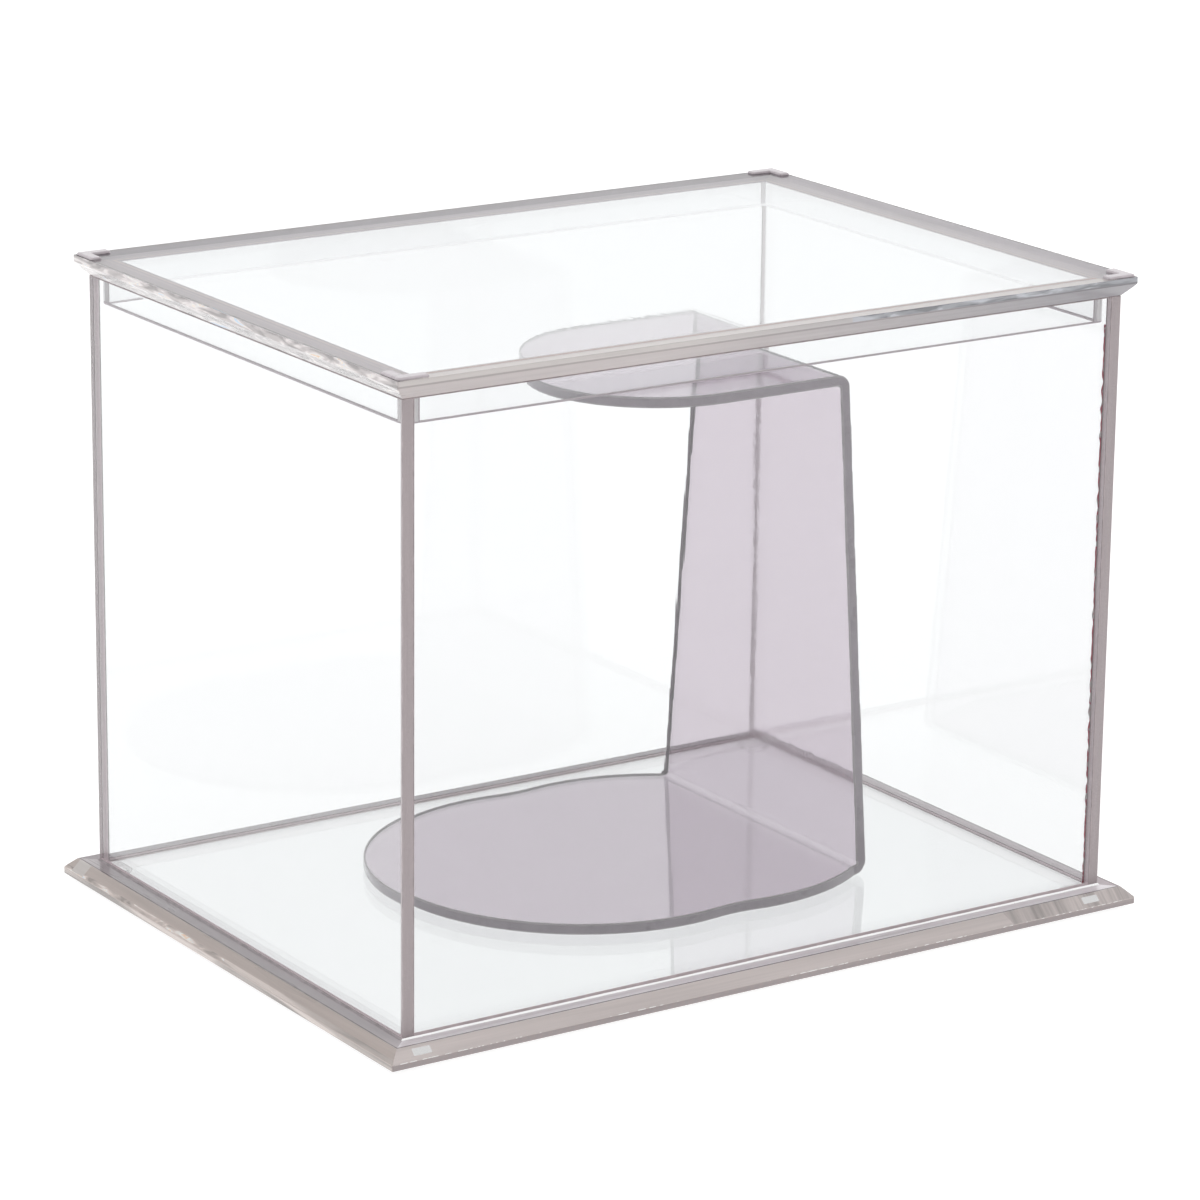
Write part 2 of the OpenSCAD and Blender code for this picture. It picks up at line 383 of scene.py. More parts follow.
def mirror_bright(name, tone):
    """Painted highlights, as mirror metal: the weld's fillet and the glimpses of the feet, where light
    is totally reflected.
    """
    mat, nodes, links, shader = new_material(name, tone, 0.2, Metallic=1.0)
    cloud = stretched_noise(nodes, links, 120, EVENLY, detail=3)
    colour_by(nodes, links, shader, cloud, shade(tone, 0.93), tone)
    roughen(nodes, links, shader, cloud, 0.12, 0.34)
    bump(nodes, links, shader, cloud, 0.05 * MM)
    return mat


def solvent_bead(name, fleck_colour):
    """A bead of solvent weld in a corner: pale, flecked with colour and small bubbles."""
    mat, nodes, links, shader = new_material(name, EDGE_PALE, 0.2)
    fleck = stretched_noise(nodes, links, 620, (1, 1, 0.35), detail=4, roughness=0.65)
    colour_by(nodes, links, shader, fleck, fleck_colour, EDGE_PALE, 0.51, 0.56)
    bump(nodes, links, shader, fleck, 0.1 * MM)
    return mat


def plain_floor(name):
    """White paper that gives out some light itself, so that it stays an even white."""
    mat, nodes, links, shader = new_material(
        name, FLOOR_WHITE, 0.6, Specular_IOR_Level=0.1,
        Emission_Color=WHITE, Emission_Strength=FLOOR_GLOW)
    cloud = stretched_noise(nodes, links, 1.5, EVENLY)
    colour_by(nodes, links, shader, cloud, shade(FLOOR_WHITE, 0.99), FLOOR_WHITE)
    return mat


SHEET = clear_sheet("panel_clear_face", SHEET_TINT)
POST_EDGE = sawn_edge("panel_upright_edge", EDGE_GREY, ALONG_Z)
# painted glow: the bonded ends are lighter and glow, standing in for light piped through the sheets
POST_INNER = sawn_edge("panel_bonded_end", BONDED_GREY, ALONG_Z, BONDED_GLOW)
POST_BACK = frosted_edge("panel_back_edge", FROST_GREY, ALONG_Z)
# painted: the feet's bonded edge glows, and a lighter strip on the near face stands in for that edge
# seen through the face
PANEL_FOOT = sawn_edge("panel_bonded_foot", FOOT_ROSE, EVENLY, FOOT_GLOW)
FOOT_STRIP = eased_edge("panel_foot_strip", shade(FOOT_STRIP_ROSE, 0.88), FOOT_STRIP_ROSE)
TOP_EDGE = [sawn_edge("top_edge_x", EDGE_GREY, ALONG_X),
            sawn_edge("top_edge_y", EDGE_GREY, ALONG_Y)]
# painted highlight: the sheets' eased lines are lighter than their edges
SHEET_LINE = eased_edge("panel_eased_line", EDGE_GREY, shade(EDGE_GREY, 1.3))
CRIMSON_BEAD = solvent_bead("weld_bead_crimson", SEAM_ROSE)
LID_CLEAR = clear_sheet("lid_clear_face", LID_TINT)
COLLAR_CLEAR = clear_sheet("collar_clear_face", SHEET_TINT)
# painted glow: the collar's ends and lower lines glow, standing in for light piped through the strips
COLLAR_END = rim_satin("collar_end", COLLAR_PALE, ALONG_Z, 0.06, glow=PALE_GLOW)
UNDER_EDGE = [frosted_edge("under_edge_x", FROST_ROSE, ALONG_X),
              frosted_edge("under_edge_y", FROST_ROSE, ALONG_Y)]
COLLAR_LINE = eased_edge("collar_eased_line", shade(COLLAR_LILAC, 0.9), COLLAR_LILAC,
                         COLLAR_GLOW)
# painted: the far lower lines are white with a strong glow, so they fade against the floor
COLLAR_FAINT = rim_satin("collar_faint_foot", COLLAR_WHITE, EVENLY, 0.05, glow=FAINT_GLOW)
# painted light and shade: the lid's rims get one tone per side, and the front margin is pale with a
# painted glow
LID_WISPS = rim_wisps("lid_wisps", LID_WISP_GREY, (1, 0.2, 1), True, 300)
LID_LIP = [rim_satin("lid_lip_x", LID_LIP_PALE, ALONG_X, 0.10, LID_RIGHT_SHADE), LID_WISPS]
# painted reflection: dark blue-grey wisps on the front lip's right part
LID_LIP_REFLECTION = rim_wisps("lid_lip_painted_reflection", LID_REFLECTION_BLUE, (0.2, 1, 1), False, 300)
LID_BEVEL = [rim_satin("lid_bevel_x", LID_SATIN, ALONG_X, 0.10, LID_RIGHT_SHADE), LID_WISPS]
LID_FAR_BEVEL = [rim_satin("lid_bevel_back", LID_BACK_LILAC, ALONG_X, 0.10),
                 rim_satin("lid_bevel_right", LID_RIGHT_GREY, ALONG_Y, 0.08)]
LID_MARGIN = [rim_satin("lid_margin_x", LID_MARGIN_BACK, ALONG_X, 0.10),
              rim_satin("lid_margin_y", LID_MARGIN_GREY, ALONG_Y, 0.10)]
LID_MARGIN_FRONT = rim_satin("lid_margin_front", LID_MARGIN_PALE, ALONG_X, 0.06,
                             glow=PALE_GLOW)
LID_ROSE = eased_edge("lid_margin_rose", shade(ROSE, 0.92), ROSE)
LID_PINK = eased_edge("lid_margin_pink", shade(PINK_WHITE, 0.95), PINK_WHITE)
LID_LINE = rim_satin("lid_soft_line", shade(LID_SATIN, 0.78), ALONG_X, 0.08, LID_RIGHT_SHADE)
LUG = rim_satin("lug_satin", LUG_GREY, EVENLY, 0.10)
BASE_CLEAR = clear_sheet("base_clear_face", BASE_TINT)
# painted light and shade: one tone per side for the base's rim; the ledge is near-white in front and
# dark at the back
BASE_LIP = [rim_satin("base_lip_x", BASE_LIP_FRONT, ALONG_X, 0.14),
            rim_wisps("base_lip_y", BASE_LIP_PALE, ALONG_Y)]
# painted pale facet: the back feet as they show through the side bevels
BASE_PALE = rim_satin("base_pale_facet", BASE_END_PALE, ALONG_Y, 0.10)
BASE_SHINE = rim_wisps("base_shine", BASE_SATIN, (1, 0.22, 1), True, 330)
# painted shade: a darker copy of the front bevel's tone, streaked across, at its right end
BASE_CROSS = rim_satin("base_cross_streaks", shade(BASE_SATIN_FRONT, 0.84), (1, 0.05, 0.05),
                       0.34)
BASE_BEVEL = [rim_satin("base_bevel_x", BASE_SATIN_FRONT, ALONG_X, 0.12),
              rim_satin("base_bevel_y", BASE_SATIN, ALONG_Y, 0.14)]
BASE_LEDGE = [rim_satin("base_ledge_x", BASE_LEDGE_FRONT, ALONG_X, 0.10),
              rim_satin("base_ledge_y", BASE_LEDGE_LILAC, ALONG_Y, 0.10),
              rim_satin("base_ledge_back", BASE_LEDGE_BACK, ALONG_X, 0.10),
              rim_satin("base_ledge_right", BASE_LEDGE_RIGHT, ALONG_Y, 0.10)]
BASE_GLINTS = glinting_line("base_arris_glints", BASE_SATIN_FRONT)
DARK_LINE = eased_edge("rim_arris_line", shade(EDGE_GREY, 0.5), shade(EDGE_GREY, 0.8))
# painted highlight: the front weld fillet as mirror metal; its other sides get a shaded lilac copy
WELD = mirror_bright("weld_fillet", WELD_WHITE)
# painted bright patch: the front feet as they show through the front bevel
FOOT_GLIMPSE = mirror_bright("foot_glimpse", shade(WELD_WHITE, 0.72))
WELD_SIDE = eased_edge("weld_fillet_side", shade(BASE_LEDGE_LILAC, 0.7), BASE_LEDGE_LILAC)
STAND_SMOKE = smoked_acrylic("stand_smoky_face")
STAND_EDGE = rim_satin("stand_edge", STAND_EDGE_GREY, EVENLY, 0.08)
# painted highlight: the stand's eased lines are lighter than its edges
STAND_LINE = eased_edge("stand_eased_line", shade(STAND_LINE_GREY, 0.85), STAND_LINE_GREY)
FOOT = soft_pad("foot_pad")


# ---------------------------------------------------------------- mesh tools

def filleted(corners, steps=5):
    """A closed outline from (x, y, radius) corners, anticlockwise, each rounded by an arc."""
    points = []
    for i, (x, y, r) in enumerate(corners):
        here = Vector((x, y))
        before = (Vector(corners[i - 1][:2]) - here).normalized()
        after = (Vector(corners[(i + 1) % len(corners)][:2]) - here).normalized()
        if r == 0:
            points.append(here)
            continue
        half_angle = before.angle(after) / 2
        reach = r / math.tan(half_angle)
        centre = here + (before + after).normalized() * r / math.sin(half_angle)
        start, end = here + before * reach - centre, here + after * reach - centre
        turn = start.angle_signed(end)
        for step in range(steps + 1):
            points.append(centre + Matrix.Rotation(-turn * step / steps, 2) @ start)
    return points


def rounded(half_x, half_y, left_r, right_r, steps=5):
    """A rectangle round the origin, with its left and right corners rounded."""
    return filleted([(half_x, -half_y, right_r), (half_x, half_y, right_r),
                     (-half_x, half_y, left_r), (-half_x, -half_y, left_r)], steps)


def divided(points, spacing):
    """The same closed outline with its long straight stretches divided."""
    out = []
    for i, p in enumerate(points):
        q = points[(i + 1) % len(points)]
        parts = max(1, round((q - p).length / spacing))
        out += [p.lerp(q, k / parts) for k in range(parts)]
    return out


def inset(points, amount):
    """A closed anticlockwise outline, moved inwards along its corners' bisectors."""
    out = []
    for i, p in enumerate(points):
        a = (p - points[i - 1]).normalized()
        b = (points[(i + 1) % len(points)] - p).normalized()
        inward = Vector((-a.y, a.x)) + Vector((-b.y, b.x))
        inward.normalize()
        stretch = max(0.4, inward.dot(Vector((-a.y, a.x))))
        out.append(p + inward * amount / stretch)
    return out


def rim_ring(half_x, half_y, r, spacing_counts, arc_steps=5):
    """Points round a rectangle with round corners, always the same number of them."""
    nx, ny = spacing_counts
    corners = [(half_x, -half_y, -90, ny), (half_x, half_y, 0, nx),
               (-half_x, half_y, 90, ny), (-half_x, -half_y, 180, nx)]
    ring = []
    for x, y, angle, _ in corners:
        centre = Vector((x - math.copysign(r, x), y - math.copysign(r, y)))
        for step in range(arc_steps + 1):
            a = math.radians(angle + 90 * step / arc_steps)
            ring.append(centre + Vector((math.cos(a), math.sin(a))) * r)
    out = []
    for i, p in enumerate(ring):
        q = ring[(i + 1) % len(ring)]
        side = i % (arc_steps + 1) == arc_steps
        parts = corners[i // (arc_steps + 1)][3] if side else 1
        out += [p.lerp(q, k / parts) for k in range(parts)]
    return out


def finish_mesh(name, bm, materials, rule, body, nodes, sharp=28):
    """Makes the object from a bmesh, paints it by rule(face) if there is one, and lets it ride
    on a body. Edges sharper than sharp degrees stay sharp."""
    bmesh.ops.recalc_face_normals(bm, faces=bm.faces)
    if bm.calc_volume(signed=True) < 0:
        bmesh.ops.reverse_faces(bm, faces=bm.faces)
    for face in bm.faces:
        face.material_index = rule(face) if rule else 0
        face.smooth = True
    mesh = bpy.data.meshes.new(name)
    bm.to_mesh(mesh)
    bm.free()
    for mat in materials:
        mesh.materials.append(mat)
    mesh.set_sharp_from_angle(angle=math.radians(sharp))
    piece = bpy.data.objects.new(name, mesh)
    bpy.context.scene.collection.objects.link(piece)
    flatten = piece.modifiers.new("flat_faces", "WEIGHTED_NORMAL")
    flatten.weight = 100
    flatten.keep_sharp = True
    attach(piece, body)
    if nodes:
        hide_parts(*nodes)
    return piece


def lofted(rings):
    """A closed bmesh solid through rings of equal length, with flat caps. Each side face
    remembers which band it is in."""
    bm = bmesh.new()
    band = bm.faces.layers.int.new("band")
    rows = [[bm.verts.new(p) for p in ring] for ring in rings]
    count = len(rings[0])
    for b in range(len(rows) - 1):
        for i in range(count):
            j = (i + 1) % count
            face = bm.faces.new((rows[b][i], rows[b][j], rows[b + 1][j], rows[b + 1][i]))
            face[band] = b
    bm.faces.new(list(reversed(rows[0])))[band] = -1
    bm.faces.new(rows[-1])[band] = len(rows)
    return bm


def looped(rings):
    """A closed bmesh tube whose section is the rings' order, joined last to first."""
    bm = bmesh.new()
    rows = [[bm.verts.new(p) for p in ring] for ring in rings]
    count = len(rings[0])
    for b, row in enumerate(rows):
        following = rows[(b + 1) % len(rows)]
        for i in range(count):
            j = (i + 1) % count
            bm.faces.new((row[i], row[j], following[j], following[i]))
    return bm


def cut_across(bm, point, normal, faces=None):
    """Cuts the solid, or only the faces given, along a plane."""
    parts = bm.verts[:] + bm.edges[:] + bm.faces[:]
    if faces is not None:
        parts = list(dict.fromkeys(part for face in faces
                                   for part in (*face.verts, *face.edges, face)))
    bmesh.ops.bisect_plane(bm, geom=parts, plane_co=point, plane_no=normal, dist=1e-7)


def rising(outline, profile, base, flip=(1, 1)):
    """Rings of an outline, inset and raised from the point base by (inset, height) pairs, and
    mirrored where flip is -1."""
    return [[base + Vector((flip[0] * p.x, flip[1] * p.y, h)) for p in inset(outline, d)]
            for d, h in profile]


def eased_profile(thickness, ease, steps=3):
    """(inset, height) pairs up a square edge whose two corners are eased by an arc."""
    angles = [math.pi / 2 * k / steps for k in range(steps + 1)]
    foot = [(ease * (1 - math.sin(a)), ease * (1 - math.cos(a))) for a in angles]
    return foot + [(d, thickness - h) for d, h in reversed(foot)]


# ---------------------------------------------------------------- sheets

def sheet_between(name, lo, hi, finish, body, nodes, strip=0, faint_from=None):
    """A flat sheet that fills the box from lo to hi. finish gives a material for its big
    faces ("face"), its edges by the axis they face ("x", "y", "z", or "-x" and so on where the
    two ends differ), the eased lines between them ("line") and, if its height is given, the
    painted strip along the foot of its near face, which stands in for the grey of the lower
    edge seen through it ("strip"). Beyond faint_from, the lower edge takes "faint", a painted fade."""
    size = hi - lo
    thin = min(range(3), key=lambda k: size[k])
    u, v = [k for k in range(3) if k != thin]
    centre = (lo + hi) / 2
    half_u, half_v = size[u] / 2 - SKIN, size[v] / 2 - SKIN
    thickness = size[thin] - 2 * SKIN
    outline = rounded(half_u, half_v, EASE, EASE, 3)
    rings = []
    for d, h in eased_profile(thickness, EASE):
        ring = []
        for p in inset(outline, d):
            q = Vector((0, 0, 0))
            q[u], q[v], q[thin] = p.x, p.y, h - thickness / 2
            ring.append(centre + q)
        rings.append(ring)
    bm = lofted(rings)
    if strip:
        cut_across(bm, (0, 0, lo.z + strip), (0, 0, 1))
    if faint_from is not None:
        cut_across(bm, (faint_from, 0, 0), (1, 0, 0))
    names = list(finish)

    def rule(face):
        n = face.normal
        at = face.calc_center_median()
        if faint_from is not None and at.z < lo.z + strip and at.x > faint_from:
            return names.index("faint")
        if strip and at.z < lo.z + strip and at[thin] < centre[thin] - thickness * NEAR_FACE:
            return names.index("-z" if n.z < -FLAT else "strip")
        if abs(n[thin]) > FLAT:
            return names.index("face")
        if "-z" in names and at.z < lo.z + EASE:
            return names.index("-z")
        for k, axis in enumerate("xyz"):
            if abs(n[k]) > FLAT:
                below = "-" + axis
                return names.index(below if n[k] < 0 and below in names else axis)
        return names.index("line")

    return finish_mesh(name, bm, [finish[k] for k in names], rule, body, nodes)


def build_panels():
    """Front and back panels are bonded between the side panels, and all four to the base."""
    for side in ("front", "back", "left", "right"):
        lo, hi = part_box(side + "_panel")
        along = 0 if side in ("front", "back") else 1
        finish = {"face": SHEET, "x": POST_INNER, "y": POST_INNER, "z": TOP_EDGE[along],
                  "-z": PANEL_FOOT, "strip": FOOT_STRIP, "line": SHEET_LINE}
        if along:
            finish["y"], finish["-y"] = POST_BACK, POST_EDGE
        sheet_between(side + "_panel_sheet", lo, hi, finish, "case", [side + "_panel"],
                      strip=FRONT_STRIP if side == "front" else PANEL_STRIP)


def build_weld_bead():
    """The uneven bead of solvent weld inside the front right corner, up to the collar."""
    lo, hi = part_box("front_panel")
    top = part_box("lid_collar_front")[0].z - 1 * MM
    count = round((top - lo.z) / BEAD_STEP)
    rings = []
    for k in range(count + 1):
        z = lo.z + SKIN + (top - lo.z - SKIN) * k / count
        width = BEAD_W * (1 + BEAD_SWELL * noise.noise(Vector((0, 0, z * BEAD_SWELLS_PER_METRE))))
        corner = [(SKIN, SKIN), (width, SKIN), (width * 0.5, width * 0.5), (SKIN, width)]
        rings.append([Vector((hi.x - p, hi.y + q, z)) for p, q in corner])
    finish_mesh("weld_bead", lofted(rings), [CRIMSON_BEAD], None, "case", [],
                sharp=60)


# ---------------------------------------------------------------- base and lid

RIM_SPACING = 5 * MM
LIP_BANDS = 4  # rim_profile's bands below the bevel, of which the last is the arris
WAVE_DEPTH = 0.04 * MM
WAVES_PER_METRE = 16
FOOT_BANDS = (LIP_BANDS + 2, LIP_BANDS + 3)  # where a painted bright patch shows the feet through the front bevel
FOOT_SHIFT = -3.8 * MM  # as refraction moves them
FOOT_NARROWER = 1.4 * MM
FACET = (17 * MM, 7 * MM)  # from the back: where a painted pale facet shows the back feet through the side bevels
SHINE_BANDS = (LIP_BANDS, LIP_BANDS + 1)  # the side bevels' lower part, which shines
CROSS_END = 66 * MM  # how far the front bevel is painted darker and streaked across, from its right end
REFLECTION_START = 30 * MM  # where the painted reflection on the lid's front lip begins, to the right of its middle
BASE_ARRIS, LID_ARRIS = 0.35 * MM, 0.7 * MM  # how high the line under the bevel is
RIM_SHARP = 24  # degrees
LID_LINES = (3.6 * MM, 2.4 * MM, 1.3 * MM)  # the margin's lines, outwards from its inner edge
# The weld fillet's section: millimetres outwards from the panels, and up from the ledge
WELD_SECTION = ((0.05, 0.0), (0.7, 0.0), (0.6, 0.1), (0.38, 0.3), (0.15, 0.55), (0.05, 0.65))
WELD_SWELL, WELD_SWELLS_PER_METRE, WELD_SEED = 0.35, 70, 5
LEAST_R = 0.12 * MM
SOFT_FOOT = 0.35 * MM  # how far the slabs' feet are eased
LEVEL_SEED = 0.9  # how far apart the levels' waves are in the noise
FINE_LINE = 0.35 * MM  # the width of the lines that arrises leave between satin strips


def side_of(p, half_x, half_y):
    """0 on a slab's front and back rims, 1 on its left and right rims."""
    return 0 if abs(p.y) - half_y > abs(p.x) - half_x else 1


def waved(p, seed):
    """How far a rim point lies inside the rim, in the slow waves left by polishing."""
    wave = noise.noise(Vector((p.x * WAVES_PER_METRE, p.y * WAVES_PER_METRE, seed)))
    return WAVE_DEPTH * (0.5 + 0.5 * wave)


def halves(node):
    """Half of a node's length and depth."""
    lo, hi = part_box(node)
    return (hi.x - lo.x) / 2, (hi.y - lo.y) / 2


def slab_rings(node, profile, corner_r, flip):
    """Rings round a node's box. profile is (inset, height) pairs from the centre of the lip's
    flat side, round the rim, to the bevel's side, and flip turns the slab over."""
    lo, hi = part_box(node)
    half_x, half_y = (hi.x - lo.x) / 2 - SKIN, (hi.y - lo.y) / 2 - SKIN
    counts = (round(2 * half_x / RIM_SPACING), round(2 * half_y / RIM_SPACING))
    rings = []
    for level, (d, h) in enumerate(profile):
        z = hi.z - SKIN - h if flip else lo.z + SKIN + h
        r = max(corner_r - d, LEAST_R)
        ring = []
        for p in rim_ring(half_x - d, half_y - d, r, counts):
            moved = d + waved(p, level * LEVEL_SEED)
            q = Vector((p.x * (half_x - moved) / (half_x - d),
                        p.y * (half_y - moved) / (half_y - d), z))
            ring.append(q)
        rings.append(ring)
    return rings


def rim_profile(thickness, lip_h, bevel_w, arris):
    """(inset, height) pairs up the rim: eased foot, lip, soft arris, bevel, soft arris."""
    soft = SOFT_FOOT
    top = thickness - 2 * SKIN
    slope = (top - lip_h) / bevel_w
    lip = [(soft, 0), (0.3 * soft, 0.3 * soft), (0, soft), (0, lip_h - arris),
           (0.05 * MM, lip_h)]
    bevel = [(bevel_w * k, lip_h + bevel_w * k * slope) for k in (0.05, 0.3, 0.5, 0.8, 0.95)]
    return lip + bevel + [(bevel_w * 0.99, top - 0.05 * MM), (bevel_w * 1.05, top)]


def rim_material(band, side, lip, arris, bevel):
    """The material of a rim's band: lip and bevel give one for each side."""
    if band < LIP_BANDS - 1:
        return lip[side]
    return arris if band == LIP_BANDS - 1 else bevel[side]


def painted(materials):
    """A list to fill with materials, and the function that gives each one's index in it."""
    def index(mat):
        if mat not in materials:
            materials.append(mat)
        return materials.index(mat)
    return index


def build_base():
    """The base: satin ledge and bevel round a clear floor, and a polished lip."""
    lo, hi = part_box("base_plate")
    half_x, half_y = halves("base_plate")
    panel_lo, panel_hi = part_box("left_panel")
    panel_in, ledge_in = panel_hi.x - lo.x, panel_lo.x - lo.x
    top = hi.z - lo.z - 2 * SKIN
    rim = rim_profile(hi.z - lo.z, BASE_LIP_H, BASE_BEVEL_W, BASE_ARRIS)
    profile = [(ledge_in, 0)] + rim + [(BASE_BEVEL_W * 1.05 + 2 * FINE_LINE, top),
                                       (ledge_in, top), (panel_in, top)]
    bm = lofted(slab_rings("base_plate", profile, BASE_CORNER_R, False))
    band = bm.faces.layers.int["band"]
    glimpses = [(f_lo.x + FOOT_NARROWER + FOOT_SHIFT, f_hi.x - FOOT_NARROWER + FOOT_SHIFT)
                for f_lo, f_hi in (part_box("base_foot_front_left"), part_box("base_foot_front_right"))]
    cuts = [((x, 0, 0), (1, 0, 0)) for pair in glimpses for x in pair]
    cuts += [((0, half_y - reach, 0), (0, 1, 0)) for reach in FACET]
    for point, normal in cuts:
        cut_across(bm, point, normal, [f for f in bm.faces if LIP_BANDS < f[band] - 1 < len(rim)])
    materials = [BASE_CLEAR]
    index = painted(materials)

    def rule(face):
        at = face.calc_center_median()
        side = side_of(at, half_x, half_y)
        level = face[band] - 1
        if level < 0:
            return index(UNDER_EDGE[side]) if level == -1 else 0
        if level >= len(rim):
            far = 2 if (at.x if side else at.y) > 0 else 0
            return index(BASE_LEDGE[side + far]) if level < len(rim) + 1 else 0
        if level == len(rim) - 1:
            return index(DARK_LINE)
        if level in FOOT_BANDS and side == 0 and at.y < 0:
            if any(low < at.x < high for low, high in glimpses):
                return index(FOOT_GLIMPSE)
        bevel = BASE_BEVEL
        if side and level > LIP_BANDS and FACET[1] < half_y - at.y < FACET[0]:
            bevel = (BASE_PALE, BASE_PALE)
        elif side and level in SHINE_BANDS:
            bevel = (BASE_SHINE, BASE_SHINE) if at.y > 0 else BASE_LIP
        elif not side and half_x - at.x < CROSS_END:
            bevel = (BASE_CROSS, BASE_CROSS)
        return index(rim_material(level, side, BASE_LIP, bevel[1] if side else BASE_GLINTS,
                                  bevel))

    finish_mesh("base_plate_slab", bm, materials, rule, "case", ["base_plate"],
                sharp=RIM_SHARP)


def build_lid():
    """The lid: a clear slab with a polished lip. Its bevel and the margin of its underside are
    satin, and show through the top."""
    lo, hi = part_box("lid_plate")
    half_x, half_y = halves("lid_plate")
    panel_lo, panel_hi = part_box("left_panel")
    collar_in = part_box("lid_collar_left")[1].x - lo.x
    under = hi.z - lo.z - 2 * SKIN
    rim = rim_profile(hi.z - lo.z, LID_LIP_H, panel_lo.x - lo.x, LID_ARRIS)
    lines = [(collar_in - out, under) for out in (*LID_LINES, 0)]
    panel_in = panel_hi.x - lo.x
    profile = rim + [(panel_in, under), (panel_in + FINE_LINE, under)] + lines
    bm = lofted(slab_rings("lid_plate", profile, LID_CORNER_R, True))
    band = bm.faces.layers.int["band"]
    materials = [LID_CLEAR]
    index = painted(materials)
    front = [LID_MARGIN_FRONT, LID_MARGIN_FRONT, LID_MARGIN_FRONT, LID_PINK, LID_ROSE, LID_PINK]
    other = [[LID_MARGIN[side], LID_PINK] + [LID_MARGIN[side]] * 2 + [LID_PINK, LID_MARGIN[side]]
             for side in (0, 1)]

    def rule(face):
        at = face.calc_center_median()
        side = side_of(at, half_x, half_y)
        if not 0 <= face[band] < len(profile) - 1:
            return 0
        far = at.x > 0 if side else at.y > 0
        if face[band] < len(rim) - 1:
            painted_reflection = side == 0 and not far and at.x > REFLECTION_START
            lip = (LID_LIP_REFLECTION, LID_WISPS) if painted_reflection else LID_LIP
            return index(rim_material(face[band], side, lip, LID_WISPS if side else LID_LINE,
                                      LID_FAR_BEVEL if far else LID_BEVEL))
        margin = front if side == 0 and not far else other[side]
        return index(margin[face[band] - len(rim) + 1])

    finish_mesh("lid_plate_slab", bm, materials, rule, "lid", ["lid_plate"],
                sharp=RIM_SHARP)


def build_collar():
    """The four strips that hang under the lid."""
    for side in ("front", "back"):
        lo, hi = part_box("lid_collar_" + side)
        finish = {"face": COLLAR_CLEAR, "x": COLLAR_END, "z": TOP_EDGE[0],
                  "-z": UNDER_EDGE[0], "strip": COLLAR_LINE, "line": COLLAR_LINE,
                  "faint": COLLAR_FAINT}
        sheet_between("collar_" + side + "_strip", lo, hi, finish, "lid",
                      ["lid_collar_" + side], strip=COLLAR_STRIP,
                      faint_from=FAINT_FROM_X if side == "back" else None)
    for side in ("left", "right"):
        build_collar_side(side)


def build_collar_side(side):
    """A side strip: its two outer corners are round, in plan."""
    lo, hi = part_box("lid_collar_" + side)
    centre = (lo + hi) / 2
    half_x, half_y = (hi.x - lo.x) / 2 - SKIN, (hi.y - lo.y) / 2 - SKIN
    radii = (EASE, COLLAR_CORNER_R) if side == "right" else (COLLAR_CORNER_R, EASE)
    outline = rounded(half_x, half_y, *radii, 6)
    profile = eased_profile(hi.z - lo.z - 2 * SKIN, EASE)
    bm = lofted(rising(outline, profile, Vector((centre.x, centre.y, lo.z + SKIN))))
    cut_across(bm, (0, 0, lo.z + COLLAR_STRIP), (0, 0, 1))
    cut_across(bm, (0, FAINT_FROM_Y, 0), (0, 1, 0))
    materials = [COLLAR_CLEAR, UNDER_EDGE[1], COLLAR_LINE, COLLAR_END, TOP_EDGE[1], COLLAR_FAINT]

    def rule(face):
        at, n = face.calc_center_median(), face.normal
        low = at.z < lo.z + COLLAR_STRIP
        if low and side == "right" and at.y > FAINT_FROM_Y:
            mat = COLLAR_FAINT
        elif abs(n.z) > FLAT:
            mat = UNDER_EDGE[1] if n.z < 0 else TOP_EDGE[1]
        elif low or abs(n.z) > UPRIGHT:
            mat = COLLAR_LINE
        else:
            mat = COLLAR_CLEAR if abs(n.x) > FLAT else COLLAR_END
        return materials.index(mat)

    finish_mesh("collar_" + side + "_strip", bm, materials, rule, "lid",
                ["lid_collar_" + side])


def build_weld_fillet():
    """The clear fillet of solvent weld round the outside of the panels' feet: mirror-bright in front as
    a painted highlight, a darker lilac on the other sides as painted shade.
    """
    lo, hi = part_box("base_plate")
    panel_lo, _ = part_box("left_panel")
    ledge_in = panel_lo.x - lo.x
    half_x, half_y = halves("base_plate")
    counts = (round(2 * half_x / RIM_SPACING), round(2 * half_y / RIM_SPACING))
    rings = []
    for out, up in WELD_SECTION:
        ring = []
        d = ledge_in - out * MM
        for p in rim_ring(half_x - d, half_y - d, EASE, counts):
            swell = noise.noise(Vector((*(p * WELD_SWELLS_PER_METRE), WELD_SEED)))
            ring.append(Vector((p.x, p.y, hi.z + up * MM * (1 + WELD_SWELL * swell))))
        rings.append(ring)
    finish_mesh("weld_fillet", looped(rings), [WELD, WELD_SIDE],
                lambda face: 0 if face.calc_center_median().y < -half_y + ledge_in else 1,
                "case", [], sharp=60)


CORNERS = [(fb + "_" + lr, sx, sy)
           for fb, sy in (("front", -1), ("back", 1)) for lr, sx in (("left", -1), ("right", 1))]


